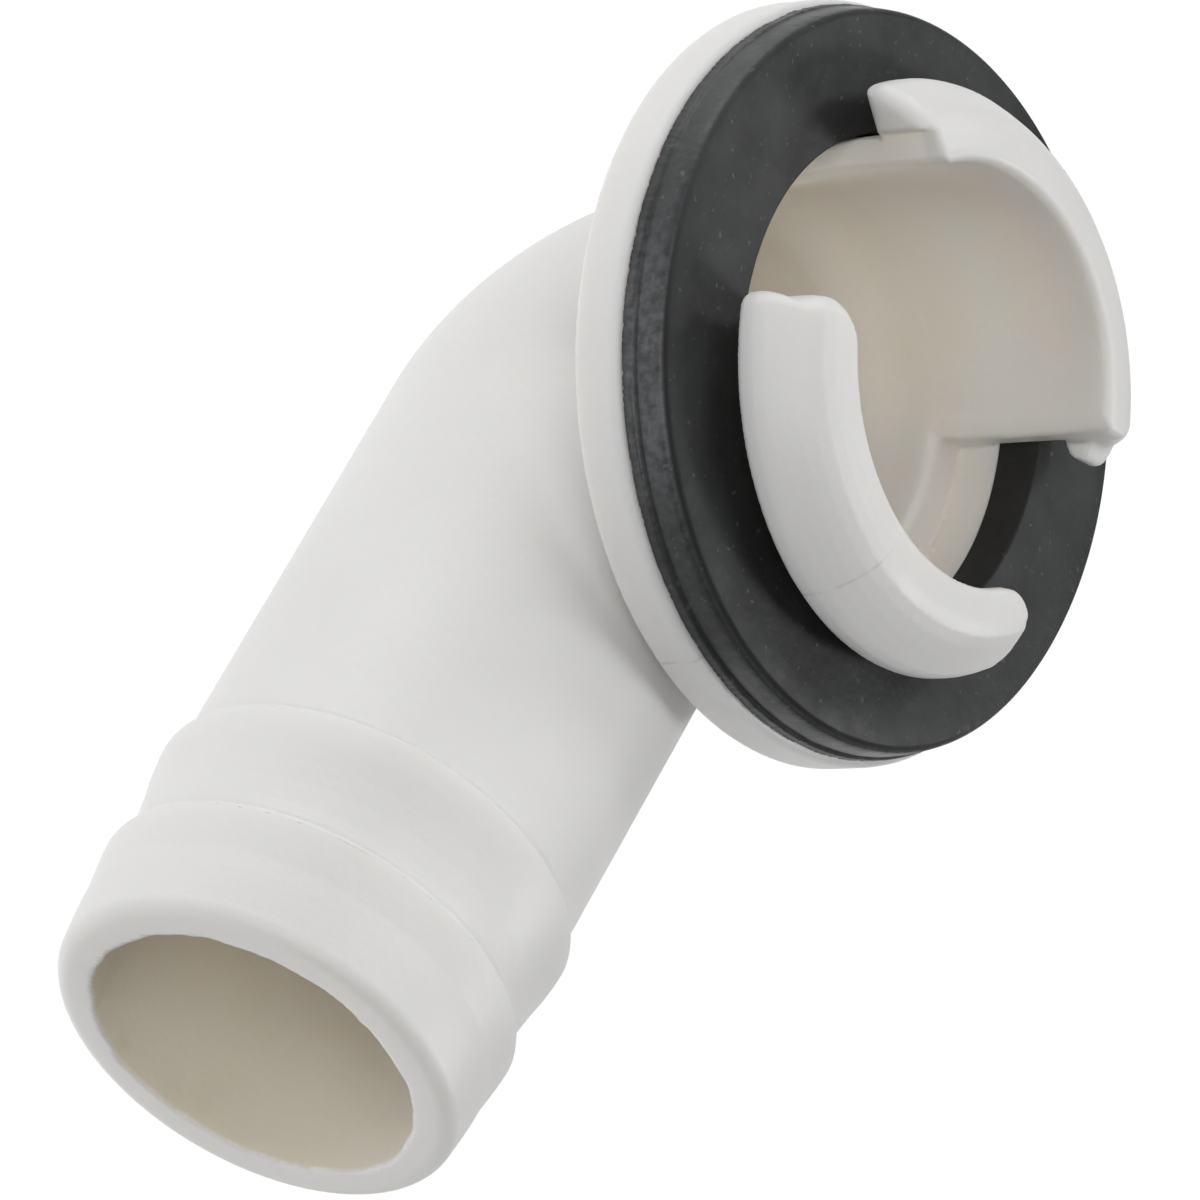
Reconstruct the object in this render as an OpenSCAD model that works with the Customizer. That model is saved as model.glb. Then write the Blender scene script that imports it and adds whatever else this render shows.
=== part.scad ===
// Elbow connector for the condensate drain of a split air conditioner: a one-piece moulded
// plastic elbow that snaps into a round hole in a base pan, and its loose rubber sealing ring.
// The origin is the centre of the flange's sealing face. +Z points up into the pan, through the
// snap hooks, and +X points out along the hose spigot.

/* [Sealing ring] */
// Outside diameter at the upper edge of the ring
ring_d = 33; // [31:0.1:34]
// How much the rim flares outward at its lower edge, on the radius
ring_flare = 0.35; // [0:0.05:0.4]
// Diameter of the ring's hole
ring_hole_d = 22; // [21.9:0.05:22.4]
// Thickness of the ring
ring_t = 2.2; // [1.6:0.1:2.8]

/* [Flange] */
// Outside diameter of the flange
flange_d = 34.3; // [34:0.1:38]
// Thickness of the flange
flange_t = 2.5; // [2.2:0.1:3.5]
// Radius of the flange's rounded edges
flange_round = 0.5; // [0.3:0.1:1]

/* [Snap hooks] */
// Angle that each of the two hook arcs spans, in degrees
hook_span = 121; // [90:1:150]
// Outside diameter of the hook wall, a running fit in the ring's hole
hook_wall_d = 21.8; // [21:0.05:21.85]
// Inside diameter of the hook wall
hook_bore_d = 18.9; // [18:0.1:19.4]
// Outside diameter of the hooks' lips
hook_lip_d = 26.6; // [24:0.1:28]
// Height of the lips' underside above the sealing face
lip_z = 3.45; // [3.4:0.05:4.5]
// Height of the hooks' crowns above the sealing face, at their inner edge
hook_top_z = 7.4; // [6.5:0.1:9]

/* [Elbow] */
// Depth of the hose spigot's axis below the sealing face
axis_drop = 12.8; // [12.6:0.1:16]
// Radius of the bend's centreline
bend_r = 6; // [5:0.5:7]
// Outside diameter of the tube
tube_d = 19; // [18:0.1:20]
// Outside diameter of the flared neck where it meets the flange
neck_d = 23.2; // [22.8:0.1:24]
// Bore diameter of the neck
neck_bore_d = 17; // [16:0.1:17.6]

/* [Hose spigot] */
// Distance from the hook axis to the spigot's end
reach = 40; // [38:0.5:60]
// Bore diameter of the spigot
spigot_bore_d = 15.3; // [14:0.1:15.6]
// Outside diameter of the barbs' crests
barb_d = 20; // [19.6:0.1:20.6]
// Distance from one barb's crest to the next
barb_pitch = 5.6; // [5:0.1:6.5]
// Distance from the second barb's crest to the spigot's end
barb_from_end = 5.8; // [5.5:0.1:7]
// Length of each barb's slope toward the spigot's end
barb_slope = 3.6; // [2.5:0.1:4.5]
// Outside diameter of the bead round the spigot's end
bead_d = 19.5; // [19.3:0.1:20]

/* [Hidden] */
$fn = 96;
// The slot floor between the hooks, nearly level with the flange's rear face
slot_floor_z = -2.2;
// The lip's underside rises toward the wall by this much
lip_draft = 0.25;
// The lip keeps its full diameter over this height
lip_land = 1;
// The lead-in slope from the lip's land to the corner of the hook's crown
lead_in = 1.15;
corner_cut = 0.8;
// The crown rises by this much from that corner to the hook's inner edge
crown_rise = 0.35;
crown_edge = 0.2;
// The hook wall reaches this far into the slot floor
hook_root = 0.2;
// The hook bore narrows to the neck bore over this height, below the slot floor
neck_taper_h = 2;
// Height of a barb's steep shoulder, on the elbow side of its crest
barb_rise = 0.25;
bead_len = 3;
tube_r = tube_d / 2;
barb_r = barb_d / 2;
bore_r = spigot_bore_d / 2;
neck_bore_r = neck_bore_d / 2;
hook_bore_r = hook_bore_d / 2;
hook_wall_r = hook_wall_d / 2;
lip_r = hook_lip_d / 2;
flange_r = flange_d / 2;
bend_z = bend_r - axis_drop;
// The neck's flare runs on to the middle of the flange
neck_top_r = tube_r + (neck_d / 2 - tube_r) * (bend_z + flange_t / 2) / (bend_z + flange_t);
// The end of the spigot is a full round that spans the wall
lip_end_r = (tube_r + 0.1 - bore_r) / 2;
barb_starts = [for (i = [1, 0]) reach - barb_from_end - i * barb_pitch];
// Radius of the rubber ring's small edge chamfers
ring_edge = 0.15;

// Moves a shape that is drawn round +Z to the spigot's axis, with its +Z along +X.
module on_spigot_axis() {
    translate([0, 0, -axis_drop])
        rotate([0, 90, 0])
            children();
}

// A quarter bend from the neck, which runs along Z, to the tube, which runs along X.
module quarter_bend(r) {
    translate([bend_r, 0, bend_z])
        rotate([90, 0, 0])
            rotate([0, 0, 180])
                rotate_extrude(angle = 90)
                    intersection() {
                        translate([bend_r, 0]) circle(r);
                        translate([0, -r]) square([bend_r + r, 2 * r]);
                    }
}

module flange() {
    translate([0, 0, -flange_t])
        rotate_extrude()
            union() {
                square([flange_r - flange_round, flange_t]);
                translate([0, flange_round])
                    square([flange_r, flange_t - 2 * flange_round]);
                for (z = [flange_round, flange_t - flange_round])
                    translate([flange_r - flange_round, z]) circle(flange_round);
            }
}

// The flared neck under the flange, and the bend.
module elbow_outside() {
    translate([0, 0, bend_z])
        cylinder(h = -bend_z - flange_t / 2, r1 = tube_r, r2 = neck_top_r);
    quarter_bend(tube_r);
}

// One barb: a steep shoulder toward the elbow, a crest, and a long slope toward the end.
module barb() {
    translate([0, 0, -barb_rise])
        cylinder(h = barb_rise, r1 = tube_r - 0.05, r2 = barb_r);
    cylinder(h = 0.5, r = barb_r);
    translate([0, 0, 0.5])
        cylinder(h = barb_slope - 0.5, r1 = barb_r, r2 = tube_r - 0.05);
}

module spigot_outside() {
    on_spigot_axis() {
        translate([0, 0, bend_r])
            cylinder(h = reach - lip_end_r - bend_r, r = tube_r);
        for (start = barb_starts)
            translate([0, 0, start]) barb();
        translate([0, 0, reach - lip_end_r - bead_len + 0.8])
            cylinder(h = bead_len - 0.8, r1 = bead_d / 2, r2 = bore_r + 2 * lip_end_r);
        translate([0, 0, reach - lip_end_r])
            rotate_extrude()
                translate([bore_r + lip_end_r, 0]) circle(lip_end_r);
    }
}

// The bore through the spigot, the bend and the neck.
module passage() {
    on_spigot_axis()
        translate([0, 0, bend_r])
            cylinder(h = reach, r = bore_r);
    quarter_bend(bore_r);
    rotate_extrude()
        polygon([
            [0, bend_z],
            [bore_r, bend_z],
            [neck_bore_r, bend_z + 1],
            [neck_bore_r, slot_floor_z - neck_taper_h / 2],
            [hook_bore_r, slot_floor_z + neck_taper_h / 2],
            [hook_bore_r, hook_top_z + 1],
            [0, hook_top_z + 1],
        ]);
}

// Half section of a hook: the wall, and the lip with its undercut and its lead-in slope.
module hook_section() {
    polygon([
        [neck_bore_r - 1, slot_floor_z - hook_root],
        [hook_wall_r, slot_floor_z - hook_root],
        [hook_wall_r, lip_z + lip_draft],
        [lip_r - 0.2, lip_z],
        [lip_r, lip_z + 0.2],
        [lip_r, lip_z + lip_land],
        [lip_r - lead_in, hook_top_z - crown_rise - corner_cut],
        [lip_r - lead_in - corner_cut, hook_top_z - crown_rise],
        [hook_bore_r + crown_edge, hook_top_z],
        [hook_bore_r, hook_top_z - crown_edge],
        [neck_bore_r - 1, hook_top_z - crown_edge],
    ]);
}

// The two hook arcs, one over the spigot and one opposite it.
module hooks() {
    for (middle = [0, 180])
        rotate([0, 0, middle - hook_span / 2])
            rotate_extrude(angle = hook_span)
                hook_section();
}

// The clear space above the slot floor, between the hooks and inside the ring's hole.
module flange_well() {
    translate([0, 0, slot_floor_z])
        cylinder(h = hook_top_z, r = ring_hole_d / 2);
}

module elbow_body() {
    color("whitesmoke")
        difference() {
            union() {
                difference() {
                    union() {
                        flange();
                        elbow_outside();
                        spigot_outside();
                    }
                    flange_well();
                }
                hooks();
            }
            passage();
        }
}

module sealing_ring() {
    ring_r = ring_d / 2;
    ring_hole_r = ring_hole_d / 2;
    color("dimgray")
        rotate_extrude()
            polygon([
                [ring_hole_r, 0],
                [ring_r + ring_flare - ring_edge, 0],
                [ring_r + ring_flare, ring_edge],
                [ring_r + ring_flare, ring_t / 3],
                [ring_r + ring_flare / 3, ring_t / 3 + ring_edge],
                [ring_r, ring_t - ring_edge],
                [ring_r - ring_edge, ring_t],
                [ring_hole_r, ring_t],
            ]);
}

elbow_body();
sealing_ring();
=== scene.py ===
"""A drain hose elbow with its rubber sealing ring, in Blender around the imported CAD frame.

Lengths in the shape functions are millimetres, and the meshes are scaled to metres. The origin is the
centre of the flange's sealing face: +Z runs up through the snap hooks, and +X along the hose spigot.
"""
import math

import bpy
import numpy as np
from mathutils import Matrix, Vector


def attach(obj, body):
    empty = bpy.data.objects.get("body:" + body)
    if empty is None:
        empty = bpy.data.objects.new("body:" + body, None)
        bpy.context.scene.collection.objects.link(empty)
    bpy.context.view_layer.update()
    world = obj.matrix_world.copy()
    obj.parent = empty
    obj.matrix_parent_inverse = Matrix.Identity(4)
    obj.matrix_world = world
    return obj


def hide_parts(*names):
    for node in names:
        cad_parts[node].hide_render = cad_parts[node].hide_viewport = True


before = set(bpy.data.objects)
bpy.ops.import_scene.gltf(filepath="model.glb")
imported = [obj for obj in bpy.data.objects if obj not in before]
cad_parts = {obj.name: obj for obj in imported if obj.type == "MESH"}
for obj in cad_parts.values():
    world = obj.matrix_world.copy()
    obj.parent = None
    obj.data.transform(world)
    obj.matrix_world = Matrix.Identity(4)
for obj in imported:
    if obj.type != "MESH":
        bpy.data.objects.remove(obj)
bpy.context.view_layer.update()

MM = 0.001

# Elbow
FLANGE_R = 17.15
FLANGE_T = 2.5
FLANGE_ROUND = 0.45
# The well in the flange, between and around the hooks
WELL_R = 11.0
WELL_FLOOR = -2.2
AXIS_DROP = 12.8
BEND_R = 6.0
BEND_Z = BEND_R - AXIS_DROP
TUBE_R = 9.5
NECK_R = 11.6
REACH = 40.0
SPIGOT_BORE_R = 7.65
NECK_BORE_R = 8.45
# Fillets: between the neck and the spigot on the inside of the bend, under the flange, and round the hooks
CORNER_FILLET = 0.8
FLANGE_FILLET = 0.3
HOOK_FILLET = 0.2
WELL_EDGE_ROUND = 0.15
# The spigot's outside radius along its length: two barbs with steep shoulders toward the elbow, then
# the bead at the end
SPIGOT_PROFILE = (
    (0.0, 9.5), (28.0, 9.48), (28.2, 9.54), (28.36, 9.72), (28.52, 9.93), (28.7, 10.0), (29.0, 9.99),
    (29.8, 9.9), (31.0, 9.68), (32.2, 9.52), (33.2, 9.46), (33.7, 9.47), (33.9, 9.54), (34.06, 9.72),
    (34.2, 9.92), (34.4, 10.0), (34.7, 9.98), (35.6, 9.88), (36.5, 9.76), (37.5, 9.73), (38.4, 9.66),
    (40.0, 9.5),
)
END_ROUND = 0.7
# Waves that make the outlet's edge uneven: (depth, waves in a turn, phase)
OUTLET_WAVES = ((0.05, 3, 1), (0.035, 7, 2), (0.03, 16, 0), (0.02, 29, 3))

# Snap hooks
HOOK_HALF_SPAN = math.radians(60.5)
HOOK_BORE_R = 9.45
HOOK_TOP = 7.4
# The hooks' crowns lean this much: higher on the spigot's side, lower opposite
HOOK_LEAN = 0.014
# The hook over the spigot reaches this much further on its -Y end, and both its ends dip this deep
# between the lip and the crown
HOOK_EXTRA = 0.55
HOOK_DIP = 0.25
# Opposite it, the lip stands proud of the wall at the hook's ends: at the +Y end as a tooth on its widest
# stretch, and at the -Y end all the way up
TOOTH_LENGTH = 0.75
LIP_PROUD = 0.45
# Rounding of the upright inner edge of each end
SPIGOT_HOOK_EDGE = 1.7
FAR_HOOK_EDGE = 0.4
# Rounding of a hook's own outline
HOOK_ROUND = 0.35
# Section of a hook as (distance from the axis, height), drawn HOOK_ROUND inside the real outline. Its foot
# fills the hair-wide gap to the wall of the flange's well.
HOOK_CORE = (
    (9.0, -3.0), (11.0, -3.0), (11.0, -0.38), (10.55, -0.38), (10.55, 4.04), (12.95, 3.83), (12.95, 4.3),
    (12.83, 4.75), (12.55, 5.25), (12.2, 5.8), (11.8, 6.28), (11.4, 6.6), (10.9, 6.77), (10.3, 6.86),
    (9.0, 7.0),
)

# Sealing ring
RING_R = 16.5
RING_FLARE = 0.35
RING_HOLE_R = 11.0
RING_T = 2.2
RING_TURNS = 1440
# Stretches of its side with scuffs and a painted sheen: the angle of the middle in degrees, the width in
# radians, and how strong
RING_SCUFFS_AND_SHEEN = ((313, 0.3, 0.85), (40, 0.4, 0.45))

# Pitch of the elbow's surface mesh, and the corners of the space that it is sought in
GRID = 0.22
SPACE_LOW = (-17.6, -17.6, -22.9)
SPACE_HIGH = (40.6, 17.6, 7.9)
# A distance that is beyond everything
FAR = np.float32(1e3)


# ---- distance functions, in millimetres: negative inside the plastic -------------------------------

def rounded_both(a, b, radius):
    """What is inside both shapes, with their common edge rounded."""
    corner = np.hypot(np.maximum(a + radius, 0), np.maximum(b + radius, 0))
    return np.minimum(np.maximum(a, b), -radius) + corner


def rounded_any(a, b, radius):
    """What is inside either shape, with a fillet where they meet."""
    return -rounded_both(-a, -b, radius)


def polygon(u, v, corners):
    """Distance to a closed outline in a plane."""
    nearest = np.full(u.shape, 1e9, np.float32)
    inside = np.zeros(u.shape, bool)
    for (au, av), (bu, bv) in zip(corners, corners[1:] + corners[:1]):
        eu, ev = bu - au, bv - av
        wu, wv = u - au, v - av
        along = np.clip((wu * eu + wv * ev) / (eu * eu + ev * ev), 0, 1)
        nearest = np.minimum(nearest, (wu - along * eu) ** 2 + (wv - along * ev) ** 2)
        crosses = (av <= v) != (bv <= v)
        if ev:
            inside ^= crosses & (u < au + wv * (eu / ev))
    return np.where(inside, -1, 1) * np.sqrt(nearest)


def smoothstep(low, high, value):
    """Rises smoothly from 0 at low to 1 at high, or falls if low is the larger."""
    t = np.clip((value - low) / (high - low), 0, 1)
    return t * t * (3 - 2 * t)


def along_path(x, y, z, neck, spigot, pipe_r):
    """Joins a shape round the neck's axis and one round the spigot's axis through the quarter bend, a pipe
    of radius pipe_r."""
    bend = np.hypot(np.hypot(x - BEND_R, z - BEND_Z) - BEND_R, y) - pipe_r
    above = np.where(z > BEND_Z, neck, FAR)
    beyond = np.where(x > BEND_R, spigot, FAR)
    # The fillet in the corner over the spigot grows from nothing where the bend starts and ends
    fillet = CORNER_FILLET * smoothstep(0, 2, x - BEND_R) * smoothstep(0, 1.5, z - BEND_Z)
    return np.where((z > BEND_Z) & (x > BEND_R), rounded_any(above, beyond, fillet),
                    np.where((z > BEND_Z) | (x > BEND_R), np.minimum(above, beyond), bend))


def neck_bore(z):
    """Radius of the bore, which narrows from the hooks to the neck, and on to the spigot's at the bend."""
    neck = HOOK_BORE_R + (NECK_BORE_R - HOOK_BORE_R) * smoothstep(2, BEND_Z, z)
    return neck + (SPIGOT_BORE_R - NECK_BORE_R) * smoothstep(-3.5, BEND_Z, z)


def passage(x, y, z):
    """The bore, from between the hooks down through the bend and out of the spigot, where its edge is
    slightly uneven."""
    from_z = np.hypot(x, y)
    from_x = np.hypot(y, z + AXIS_DROP)
    angle = np.arctan2(y, z + AXIS_DROP)
    wobble = sum(depth * np.sin(count * angle + phase) for depth, count, phase in OUTLET_WAVES)
    wobble = wobble * smoothstep(REACH - 3, REACH - 0.2, x)
    return along_path(x, y, z, from_z - neck_bore(z), from_x - SPIGOT_BORE_R + wobble, SPIGOT_BORE_R)


def beyond_hook_end(x, y):
    """Distance past the planes that cut the hooks' ends."""
    return np.abs(y) * math.cos(HOOK_HALF_SPAN) - np.abs(x) * math.sin(HOOK_HALF_SPAN)


def hooks(x, y, z):
    """The two snap hooks, over the spigot and opposite it."""
    from_z = np.hypot(x, y)
    over_spigot = x > 0
    level = z - HOOK_LEAN * x * smoothstep(3.8, 6.5, z)
    section = polygon(from_z, level, HOOK_CORE) - HOOK_ROUND
    # 1 on the hook's lip, and 0 on its wall
    lip = smoothstep(11.0, 11.3, from_z)
    # 1 up to the lip's widest stretch, and 0 above it
    low = 1 - smoothstep(4.6, 5.2, z)
    spigot_side = HOOK_DIP * np.exp(-((from_z - 12.1) / 0.45) ** 2) - HOOK_EXTRA * (y < 0)
    far_side = np.where(y > 0, 0.05 - TOOTH_LENGTH * lip * low * smoothstep(13.6, 12.6, from_z),
                        LIP_PROUD * (1 - lip))
    edge = np.where(over_spigot, SPIGOT_HOOK_EDGE, FAR_HOOK_EDGE)
    turn = np.clip(1 - (from_z - neck_bore(z)) / edge, 0, 1)
    set_back = edge * (1 - np.sqrt(np.maximum(1 - turn ** 2, 0.02)))
    end = beyond_hook_end(x, y) + np.where(over_spigot, spigot_side, far_side) + set_back
    return rounded_both(section, end, np.where(over_spigot, 0.75 + 0.15 * lip, 0.3 + 0.55 * lip))


def elbow(x, y, z):
    """The whole moulding."""
    from_z = np.hypot(x, y)
    from_x = np.hypot(y, z + AXIS_DROP)
    profile_x, profile_r = zip(*SPIGOT_PROFILE)
    neck_r = np.interp(z, (BEND_Z, -FLANGE_T), (TUBE_R, NECK_R))
    spigot = from_x - np.interp(x, profile_x, profile_r)
    solid = along_path(x, y, z, from_z - neck_r, spigot, TUBE_R)
    solid = np.maximum(solid, z + FLANGE_T / 2)
    plate_r = from_z - FLANGE_R + FLANGE_ROUND
    plate_z = np.abs(z + FLANGE_T / 2) - FLANGE_T / 2 + FLANGE_ROUND
    plate = (np.hypot(np.maximum(plate_r, 0), np.maximum(plate_z, 0))
             + np.minimum(np.maximum(plate_r, plate_z), 0) - FLANGE_ROUND)
    solid = rounded_any(solid, plate, FLANGE_FILLET)
    solid = rounded_both(solid, x - REACH, END_ROUND)
    solid = rounded_both(solid, -np.maximum(from_z - WELL_R, WELL_FLOOR - z), WELL_EDGE_ROUND)
    solid = rounded_any(solid, hooks(x, y, z), HOOK_FILLET)
    # The bore's edge is rounded little at the spigot's end, and most at the foot of the far hook
    bore_edge = np.where(x > 30, 0.12, np.interp(x, (-6, 6), (0.55, 0.25)))
    return rounded_both(solid, -passage(x, y, z), bore_edge)


# ---- meshes ----------------------------------------------------------------------------------------

def gradient(distance, points, step=0.02):
    """Distance at each point, and its gradient."""
    value = distance(*points.T)
    slopes = []
    for axis in range(3):
        moved = points.copy()
        moved[:, axis] += step
        slopes.append((distance(*moved.T) - value) / step)
    return value, np.stack(slopes, 1)


def grid_values(distance, lowest, highest, pitch):
    """A distance function's values on a grid: exact near the surface, and by coarse blocks elsewhere."""
    coarse = 4
    blocks = [int(math.ceil((b - a) / (pitch * coarse))) for a, b in zip(lowest, highest)]
    centres = [a + (np.arange(n) + 0.5) * pitch * coarse for a, n in zip(lowest, blocks)]
    block_points = np.stack(np.meshgrid(*centres, indexing="ij"), -1).reshape(-1, 3)
    rough = distance(*block_points.T).reshape(blocks)
    # The distances are rough away from the surface, so the margin is wide
    near = np.abs(rough) < pitch * coarse * 1.5
    values = rough.astype(np.float32)
    for axis in range(3):
        values = np.repeat(values, coarse, axis)
        near = np.repeat(near, coarse, axis)
    index = np.stack(np.nonzero(near), 1)
    points = np.array(lowest) + index * pitch
    # In batches, to limit the memory that the distance function takes
    batch = 400000
    for part in np.array_split(np.arange(len(index)), max(1, len(index) // batch)):
        values[tuple(index[part].T)] = distance(*points[part].T)
    return values


def cells_and_quads(inside):
    """The grid cells that have corners both inside and outside, and a quad across each grid edge between
    an inside and an outside corner, joining the four cells round it."""
    corners = [inside[i:inside.shape[0] - 1 + i, j:inside.shape[1] - 1 + j, k:inside.shape[2] - 1 + k]
               for i in (0, 1) for j in (0, 1) for k in (0, 1)]
    filled = sum(c.astype(np.int8) for c in corners)
    crossed = (filled > 0) & (filled < 8)
    cell = np.full(crossed.shape, -1, np.int64)
    cell[crossed] = np.arange(crossed.sum())
    faces = []
    for axes in ((0, 1, 2), (1, 2, 0), (2, 0, 1)):
        sign = inside.transpose(axes)
        cells = cell.transpose(axes)
        start = sign[:-1, 1:-1, 1:-1]
        end = sign[1:, 1:-1, 1:-1]
        edge = start != end
        loop = (cells[:, :-1, :-1], cells[:, 1:, :-1], cells[:, 1:, 1:], cells[:, :-1, 1:])
        quads = np.stack([c[edge] for c in loop], 1)
        backward = end[edge]
        quads[backward] = quads[backward, ::-1]
        faces.append(quads)
    return np.stack(np.nonzero(crossed), 1), np.concatenate(faces)


def surface(distance, lowest, highest, pitch):
    """Vertices and quads on the zero surface of a distance function: one vertex for each grid cell that
    the surface crosses, moved onto the surface."""
    cells, faces = cells_and_quads(grid_values(distance, lowest, highest, pitch) < 0)
    points = np.array(lowest) + (cells + 0.5) * pitch
    # Newton's steps onto the surface, none longer than most of a cell
    for _ in range(3):
        value, slope = gradient(distance, points)
        step = slope * (value / np.maximum((slope ** 2).sum(1), 0.2))[:, None]
        points = points - np.clip(step, -0.6 * pitch, 0.6 * pitch)
    return points, faces


def mesh_object(name, points, faces, normals=None):
    """A mesh from points in millimetres and quads, with smooth shading."""
    mesh = bpy.data.meshes.new(name)
    mesh.vertices.add(len(points))
    mesh.vertices.foreach_set("co", (points * MM).astype(np.float32).ravel())
    mesh.loops.add(faces.size)
    mesh.loops.foreach_set("vertex_index", faces.astype(np.int32).ravel())
    mesh.polygons.add(len(faces))
    mesh.polygons.foreach_set("loop_start", np.arange(0, faces.size, 4, dtype=np.int32))
    mesh.update(calc_edges=True)
    mesh.validate()
    mesh.polygons.foreach_set("use_smooth", np.ones(len(mesh.polygons), bool))
    if normals is not None:
        mesh.normals_split_custom_set_from_vertices(normals)
    piece = bpy.data.objects.new(name, mesh)
    bpy.context.scene.collection.objects.link(piece)
    return piece


def point_value(piece, name, values):
    """Stores one number for each vertex, which the material reads by name."""
    attribute = piece.data.attributes.new(name, "FLOAT", "POINT")
    attribute.data.foreach_set("value", values.astype(np.float32))


def bore_painted_light(x, y, z):
    """Painted light at each point, standing in for light come through the plastic: a yellowish painted glow,
    and a deeper, brownish painted glow. The glow is on the bore's wall, less toward the hooks' crowns and in
    the gap on the
    +Y side, and on the face of the far hook's -Y end and the wall of the flange's well. The brownish glow is
    in the spigot's bore, least on its upper +Y side, and on the thick wall at the flange."""
    from_z = np.hypot(x, y)
    bore = 1 - smoothstep(0.15, 0.7, passage(x, y, z))
    bore = bore * np.minimum(smoothstep(-0.5, 4, HOOK_TOP - z), smoothstep(0.02, 0.3, REACH - x))
    in_gap = smoothstep(3.5, 9, y) * smoothstep(15, 10, x) * smoothstep(-9, -6, z)
    # The face of the far hook's -Y end, which takes part of the painted glow
    hook_end = smoothstep(-1.0, -0.5, beyond_hook_end(x, y)) * (1 - smoothstep(11.0, 11.3, from_z))
    hook_end = hook_end * smoothstep(6.3, 5.9, z) * smoothstep(-2.5, -1.5, z) * (x < 0) * (y < 0)
    well_wall = smoothstep(11.3, 11.1, from_z) * smoothstep(-0.2, -0.5, z) * smoothstep(-3, -2.3, z)
    # The painted glow, a brighter yellowish colour in place of light come through the plastic
    painted_glow = np.maximum(bore * (1 - 0.75 * in_gap), np.maximum(0.8 * hook_end, 0.5 * well_wall))
    lit_side = smoothstep(2, 8, 0.84 * y + 0.54 * (z + AXIS_DROP))
    # The brownish painted glow, at the thick wall by the flange and deep in the spigot's bore, less on its
    # lit side
    thick = 0.75 * np.exp(-((z + FLANGE_T) / 3) ** 2) * (1 - in_gap) * smoothstep(10, 6, x)
    painted_deep_glow = bore * np.maximum(smoothstep(8, 24, x) * (1 - 0.55 * lit_side), thick)
    return painted_glow, painted_deep_glow


def make_elbow():
    """The white moulding, with the painted glow of its bore stored on its vertices."""
    points, faces = surface(elbow, SPACE_LOW, SPACE_HIGH, GRID)
    _, slope = gradient(elbow, points)
    normals = slope / np.linalg.norm(slope, axis=1)[:, None]
    piece = mesh_object("elbow_moulding", points, faces, normals)
    painted_glow, painted_deep_glow = bore_painted_light(*points.T)
    point_value(piece, "inner", painted_glow)
    point_value(piece, "outlet", painted_deep_glow)
    return piece


def rough_line(angle, longest, shortest, seed):
    """An uneven closed line, from -1 to 1, from waves that fit the turn a whole number of times."""
    rng = np.random.default_rng(seed)
    line = sum(rng.normal() * np.sin(k * angle + rng.uniform(0, 2 * math.pi))
               for k in range(longest, shortest))
    return line / np.abs(line).max()


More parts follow.
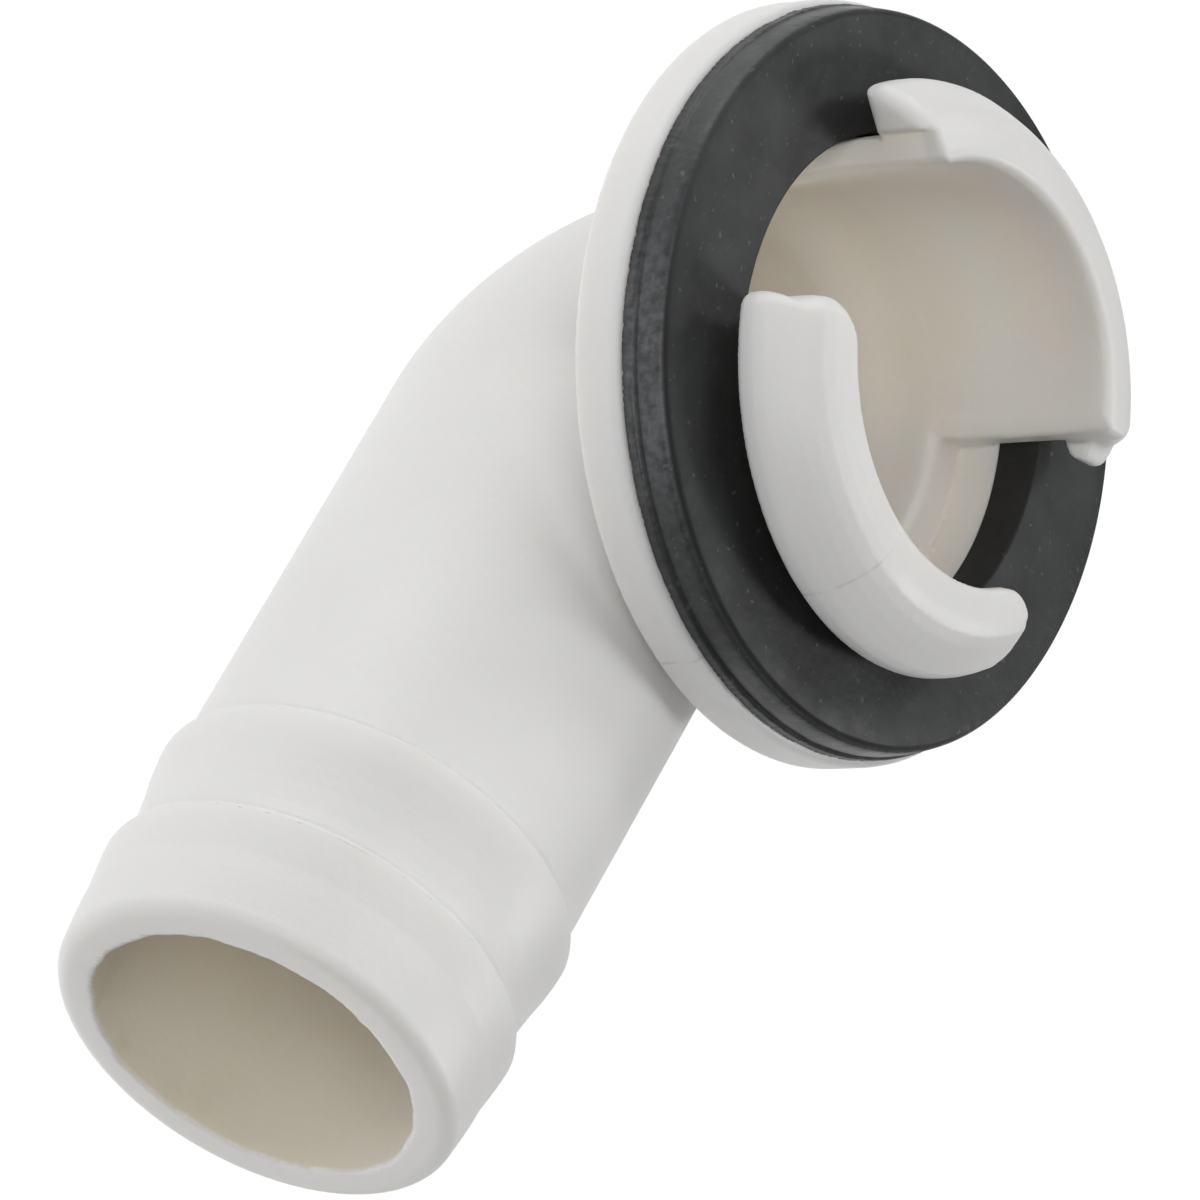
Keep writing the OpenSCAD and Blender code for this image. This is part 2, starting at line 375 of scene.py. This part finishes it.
def make_ring():
    """The rubber ring, as a section turned round the axis. Moulding flash roughens its lower edge. A groove
    round its side and a crease inside its top edge fade out toward the -Y side."""
    flare_r = RING_R + RING_FLARE
    # Distance from the axis, height, and how deep the groove or crease cuts in there
    section = (
        (RING_HOLE_R, 0.06, 0), (RING_HOLE_R + 0.06, 0, 0), (14, 0, 0), (RING_R + 0.2, 0, 0),
        (flare_r - 0.05, 0.02, 0), (flare_r, 0.08, 0), (flare_r + 0.01, 0.2, 0), (flare_r, 0.4, 0),
        (flare_r - 0.02, 0.56, 0), (flare_r - 0.06, 0.63, 0.04), (RING_R + 0.25, 0.69, 0.09),
        (RING_R + 0.23, 0.75, 0.07), (RING_R + 0.21, 0.83, 0.01), (RING_R + 0.18, 1.2, 0),
        (RING_R + 0.12, 1.6, 0), (RING_R + 0.06, 1.88, 0), (RING_R + 0.01, 1.96, 0.02),
        (RING_R - 0.05, 2.03, 0.1), (RING_R - 0.1, 2.09, 0.1), (RING_R - 0.17, 2.15, 0.05),
        (RING_R - 0.28, RING_T, 0), (15, RING_T, 0), (13, RING_T, 0), (RING_HOLE_R + 0.16, RING_T, 0),
        (RING_HOLE_R + 0.05, RING_T - 0.05, 0), (RING_HOLE_R, RING_T - 0.16, 0), (RING_HOLE_R, 1.1, 0),
    )
    angle = np.arange(RING_TURNS) * 2 * math.pi / RING_TURNS
    # Uneven lines, from fine to coarse
    flash = rough_line(angle, 20, 360, 3)
    lumps = rough_line(angle, 9, 60, 4)
    swell = rough_line(angle, 3, 12, 5)
    cut = smoothstep(0.25, 0.8, np.cos(angle + 0.1)) * (0.8 + 0.2 * lumps)
    # How much scuffing and painted sheen the side has: a little all round, and most on two stretches
    scuffs_and_sheen = np.full(RING_TURNS, 0.15)
    for middle, width, amount in RING_SCUFFS_AND_SHEEN:
        scuffs_and_sheen = scuffs_and_sheen + amount * np.exp(-((angle - math.radians(middle)) / width) ** 2)
    scuffs_and_sheen = np.minimum(scuffs_and_sheen, 1)
    points, groove, side, wear_and_sheen = [], [], [], []
    for radius, height, depth in section:
        outer = radius > RING_R - 0.25
        foot = outer * max(0, 1 - height / 0.6)
        r = radius - depth * cut + (0.05 * flash + 0.04 * lumps) * foot + 0.03 * swell * outer
        h = height + 0.06 * np.abs(flash) * (0 < foot < 1)
        points.append(np.stack([r * np.cos(angle), r * np.sin(angle), h + 0 * angle], 1))
        # The grooves, the ragged foot and the wall of the hole get painted shade, and are dull
        ragged = 0.9 * outer * max(0, 1 - height / 0.3) * (0.55 + 0.45 * lumps)
        in_hole = radius < RING_HOLE_R + 0.1
        groove.append(np.full(RING_TURNS, 0.75) if in_hole else np.maximum(8.5 * depth * cut, ragged))
        on_side = outer and height < 2
        side.append(np.full(RING_TURNS, float(on_side)))
        wear_and_sheen.append(scuffs_and_sheen * on_side)
    here = np.arange(RING_TURNS)
    ahead = (here + 1) % RING_TURNS
    faces = []
    for row in range(len(section)):
        low = row * RING_TURNS
        high = (row + 1) % len(section) * RING_TURNS
        faces.append(np.stack([low + here, low + ahead, high + ahead, high + here], 1))
    piece = mesh_object("rubber_ring", np.concatenate(points), np.concatenate(faces))
    point_value(piece, "groove", np.concatenate(groove))
    point_value(piece, "side", np.concatenate(side))
    point_value(piece, "wear_and_sheen", np.concatenate(wear_and_sheen))
    return piece


# ---- materials -------------------------------------------------------------------------------------

def new_material(name):
    """A material with its node collections and its shader."""
    material = bpy.data.materials.new(name)
    material.use_nodes = True
    nodes = material.node_tree.nodes
    return material, nodes, material.node_tree.links, nodes["Principled BSDF"]


def noise(nodes, links, scale, detail=3.0):
    """Noise in object space, with features of about 1 / scale metres."""
    where = nodes.new("ShaderNodeTexCoord")
    texture = nodes.new("ShaderNodeTexNoise")
    texture.inputs["Scale"].default_value = scale
    texture.inputs["Detail"].default_value = detail
    links.new(where.outputs["Object"], texture.inputs["Vector"])
    return texture.outputs["Fac"]


def ramp(nodes, links, source, stops):
    """Maps a value through colours: stops are (position, colour), where one number stands for a grey."""
    node = nodes.new("ShaderNodeValToRGB")
    for i, (position, colour) in enumerate(stops):
        entry = node.color_ramp.elements[i] if i < 2 else node.color_ramp.elements.new(position)
        entry.position = position
        entry.color = (*((colour,) * 3 if isinstance(colour, float) else colour), 1)
    links.new(source, node.inputs["Fac"])
    return node.outputs["Color"]


def mix(nodes, links, share, first, second, blend="MIX"):
    """Blends two colours, each a socket or a constant."""
    node = nodes.new("ShaderNodeMix")
    node.data_type = "RGBA"
    node.blend_type = blend
    # On this node the factor is socket 0, and the two colours are sockets 6 and 7
    for socket, value in ((node.inputs[0], share), (node.inputs[6], first), (node.inputs[7], second)):
        if hasattr(value, "is_output"):
            links.new(value, socket)
        else:
            socket.default_value = value
    return node.outputs[2]


def bump(nodes, links, height, distance, under=None):
    """Bumps up to a distance in metres, over the bumps under them if there are any."""
    node = nodes.new("ShaderNodeBump")
    node.inputs["Distance"].default_value = distance
    links.new(height, node.inputs["Height"])
    if under is not None:
        links.new(under, node.inputs["Normal"])
    return node.outputs["Normal"]


def point_attribute(nodes, name):
    """A value stored on the mesh by point_value."""
    node = nodes.new("ShaderNodeAttribute")
    node.attribute_name = name
    return node.outputs["Fac"]


def parting_line_shade(nodes, links):
    """The mould's parting line, drawn as painted shade: a darker hairline in the plane of symmetry, where
    the real part has a fine ridge, broken up by noise. It shows on the hook over the spigot and on the
    flange's rim, and is rubbed out elsewhere."""
    where = nodes.new("ShaderNodeTexCoord")
    split = nodes.new("ShaderNodeSeparateXYZ")
    links.new(where.outputs["Object"], split.inputs["Vector"])
    masks = []
    # (axis, full at, gone at) in millimetres
    for axis, full, gone in (("Y", 0.03, 0.11), ("Y", -0.03, -0.11), ("X", 11.5, 10.5), ("Z", -2.4, -2.8)):
        mask = nodes.new("ShaderNodeMapRange")
        mask.inputs["From Min"].default_value = gone * MM
        mask.inputs["From Max"].default_value = full * MM
        links.new(split.outputs[axis], mask.inputs["Value"])
        masks.append(mask.outputs["Result"])
    line = ramp(nodes, links, noise(nodes, links, 700, 2), ((0.35, 0.1), (0.65, 1.0)))
    for mask in masks:
        line = mix(nodes, links, 1.0, line, mask, "MULTIPLY")
    return line


def white_plastic():
    """White polypropylene. Its tone drifts a little. A yellowish painted glow on the bore's wall, and a
    brownish one deep in it, stand in for the light that has come through the plastic."""
    material, nodes, links, shader = new_material("moulded_white_plastic")
    tone = ramp(nodes, links, noise(nodes, links, 90),
                ((0.3, (0.715, 0.71, 0.70)), (0.7, (0.745, 0.74, 0.73))))
    # Colours of the yellowish painted glow and the brownish painted glow
    painted_glow = ramp(nodes, links, noise(nodes, links, 120),
                ((0.3, (0.85, 0.805, 0.73)), (0.7, (0.875, 0.845, 0.785))))
    painted_deep_glow = ramp(nodes, links, noise(nodes, links, 150),
                 ((0.3, (0.755, 0.715, 0.61)), (0.7, (0.785, 0.75, 0.665))))
    # The painted glow on the bore's wall, then the brownish painted glow deep in the spigot's bore
    colour = mix(nodes, links, point_attribute(nodes, "inner"), tone, painted_glow)
    colour = mix(nodes, links, point_attribute(nodes, "outlet"), colour, painted_deep_glow)
    # Painted shade of the parting line's fine ridge, as a darker hairline
    colour = mix(nodes, links, parting_line_shade(nodes, links), colour, (0.60, 0.59, 0.58, 1))
    links.new(colour, shader.inputs["Base Color"])
    gloss = ramp(nodes, links, noise(nodes, links, 500), ((0.3, 0.42), (0.7, 0.52)))
    links.new(gloss, shader.inputs["Roughness"])
    fine = bump(nodes, links, noise(nodes, links, 2500), 0.02 * MM)
    links.new(bump(nodes, links, noise(nodes, links, 260), 0.08 * MM, fine), shader.inputs["Normal"])
    shader.inputs["IOR"].default_value = 1.49
    shader.inputs["Subsurface Weight"].default_value = 0.4
    shader.inputs["Subsurface Radius"].default_value = (1.0, 0.85, 0.65)
    shader.inputs["Subsurface Scale"].default_value = 2 * MM
    return material


def black_rubber():
    """Matt black rubber, mottled and specked, glossier on its side, with scuffs and a painted sheen there,
    dull in its grooves, and darkened with painted shade in its grooves, at its ragged foot and in its hole.
    """
    material, nodes, links, shader = new_material("black_rubber")
    side = point_attribute(nodes, "side")
    groove = point_attribute(nodes, "groove")
    tone = ramp(nodes, links, noise(nodes, links, 300, 6),
                ((0.32, (0.0095, 0.0105, 0.0105)), (0.68, (0.0225, 0.0245, 0.0245))))
    scuff = ramp(nodes, links, noise(nodes, links, 2600, 8), ((0.36, 0.25), (0.66, 1.0)))
    patch = ramp(nodes, links, noise(nodes, links, 180, 4), ((0.40, 0.35), (0.62, 1.0)))
    wear_and_sheen = mix(nodes, links, 1.0, point_attribute(nodes, "wear_and_sheen"), scuff, "MULTIPLY")
    wear_and_sheen = mix(nodes, links, 1.0, wear_and_sheen, patch, "MULTIPLY")
    specks = ramp(nodes, links, noise(nodes, links, 2300, 2), ((0.66, 0.0), (0.74, 0.7)))
    # Lighter where the side has scuffs and a painted sheen
    colour = mix(nodes, links, wear_and_sheen, tone, (0.115, 0.118, 0.128, 1))
    colour = mix(nodes, links, specks, colour, (0.10, 0.10, 0.095, 1))
    # Painted shade in the grooves, at the ragged foot and on the wall of the hole
    colour = mix(nodes, links, groove, colour, (0.004, 0.004, 0.004, 1))
    links.new(colour, shader.inputs["Base Color"])
    flat_gloss = ramp(nodes, links, noise(nodes, links, 700, 5), ((0.3, 0.54), (0.7, 0.66)))
    side_gloss = ramp(nodes, links, noise(nodes, links, 500, 5), ((0.3, 0.36), (0.7, 0.50)))
    gloss = mix(nodes, links, side, flat_gloss, side_gloss)
    links.new(mix(nodes, links, groove, gloss, (0.9, 0.9, 0.9, 1)), shader.inputs["Roughness"])
    fine = bump(nodes, links, noise(nodes, links, 1500, 4), 0.05 * MM)
    links.new(bump(nodes, links, wear_and_sheen, 0.03 * MM, fine), shader.inputs["Normal"])
    shader.inputs["IOR"].default_value = 1.52
    return material


# ---- light and camera, in metres -------------------------------------------------------------------

VIEW_AZIMUTH = math.radians(45.51)
VIEW_ELEVATION = math.radians(38.44)
VIEW_ROLL = math.radians(87.3)
VIEW_DISTANCE = 0.444
VIEW_AIM = Vector((0.0125, 0.0005, -0.0083))
LIGHT_DISTANCE = 0.7
SOFT_LIGHT = 0.5
SMALL_LIGHT = 0.14
FLOOR_Z = -1.0
BACKDROP_R = 0.97
# The backdrop is white below the first height, and at its darkest above the second
BACKDROP_FADE = (-0.5, 0.1)


def make_camera():
    """The scene's camera. Gives its right, up and backward directions, which the lights are placed by."""
    back = Vector((math.sin(VIEW_AZIMUTH) * math.cos(VIEW_ELEVATION),
                   -math.cos(VIEW_AZIMUTH) * math.cos(VIEW_ELEVATION),
                   math.sin(VIEW_ELEVATION)))
    level = Vector((math.cos(VIEW_AZIMUTH), math.sin(VIEW_AZIMUTH), 0))
    upright = back.cross(level)
    right = level * math.cos(VIEW_ROLL) + upright * math.sin(VIEW_ROLL)
    up = back.cross(right)
    data = bpy.data.cameras.new("camera")
    data.sensor_width = 36
    data.lens = 300
    data.clip_start = 0.01
    data.clip_end = 50
    camera = bpy.data.objects.new("camera", data)
    camera.matrix_world = Matrix.Translation(VIEW_AIM + back * VIEW_DISTANCE) @ Matrix(
        (right, up, back)).transposed().to_4x4()
    bpy.context.scene.collection.objects.link(camera)
    bpy.context.scene.camera = camera
    return right, up, back


def area_light(name, direction, size, watts):
    """A soft square light that shines on the object from a direction."""
    data = bpy.data.lights.new(name, "AREA")
    data.size = size
    data.energy = watts
    light = bpy.data.objects.new(name, data)
    light.location = VIEW_AIM + direction.normalized() * LIGHT_DISTANCE
    light.rotation_mode = "QUATERNION"
    light.rotation_quaternion = (-direction).to_track_quat("-Z", "Y")
    light.visible_camera = False
    bpy.context.scene.collection.objects.link(light)


def add_backdrop():
    """A pale surround, just inside the floor: white below, and a little darker above. Only the camera sees
    it, so it sheds no light on the object."""
    bpy.ops.mesh.primitive_uv_sphere_add(segments=64, ring_count=32, radius=BACKDROP_R)
    backdrop = bpy.context.object
    backdrop.name = "backdrop"
    backdrop.visible_diffuse = False
    backdrop.visible_glossy = False
    backdrop.visible_transmission = False
    backdrop.visible_shadow = False
    material, nodes, links, shader = new_material("pale_backdrop")
    where = nodes.new("ShaderNodeTexCoord")
    split = nodes.new("ShaderNodeSeparateXYZ")
    links.new(where.outputs["Object"], split.inputs["Vector"])
    height = nodes.new("ShaderNodeMapRange")
    height.inputs["From Min"].default_value = BACKDROP_FADE[0]
    height.inputs["From Max"].default_value = BACKDROP_FADE[1]
    links.new(split.outputs["Z"], height.inputs["Value"])
    tone = ramp(nodes, links, height.outputs["Result"], ((0.0, 1.0), (1.0, 0.7)))
    shader.inputs["Base Color"].default_value = (0, 0, 0, 1)
    shader.inputs["Specular IOR Level"].default_value = 0
    links.new(tone, shader.inputs["Emission Color"])
    shader.inputs["Emission Strength"].default_value = 1.02
    backdrop.data.materials.append(material)


def add_floor():
    """A pale, softly glowing floor, well below the object."""
    bpy.ops.mesh.primitive_plane_add(size=16, location=(0, 0, FLOOR_Z))
    floor = bpy.context.object
    floor.name = "floor"
    material, _, _, shader = new_material("pale_floor")
    shader.inputs["Base Color"].default_value = (0.9, 0.9, 0.9, 1)
    shader.inputs["Emission Color"].default_value = (1, 1, 1, 1)
    shader.inputs["Emission Strength"].default_value = 0.93
    floor.data.materials.append(material)


def make_stage(right, up, back):
    """The studio: a dim white world, the backdrop, the floor, and soft lights."""
    world = bpy.data.worlds.new("studio")
    world.use_nodes = True
    world.node_tree.nodes["Background"].inputs["Color"].default_value = (1, 1, 1, 1)
    world.node_tree.nodes["Background"].inputs["Strength"].default_value = 0.04
    bpy.context.scene.world = world
    add_backdrop()
    add_floor()
    area_light("front", back, SOFT_LIGHT, 2.3)
    area_light("top", up + back * 0.1, SOFT_LIGHT, 1.7)
    area_light("top_right", up * 0.6 + right * 0.6 + back * 0.5, SOFT_LIGHT, 1.2)
    area_light("right", right * 0.94 + back * 0.34, SOFT_LIGHT, 0.5)
    area_light("behind_right", right * 0.9 + up * 0.35 - back * 0.1, SMALL_LIGHT, 0.7)
    area_light("behind_low_right", right * 0.9 - up * 0.35 - back * 0.1, SMALL_LIGHT, 1.55)
    bpy.context.scene.view_settings.view_transform = "Standard"


elbow_piece = make_elbow()
elbow_piece.data.materials.append(white_plastic())
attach(elbow_piece, "elbow")
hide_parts("elbow_body")

ring_piece = make_ring()
ring_piece.data.materials.append(black_rubber())
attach(ring_piece, "ring")
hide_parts("sealing_ring")

make_stage(*make_camera())
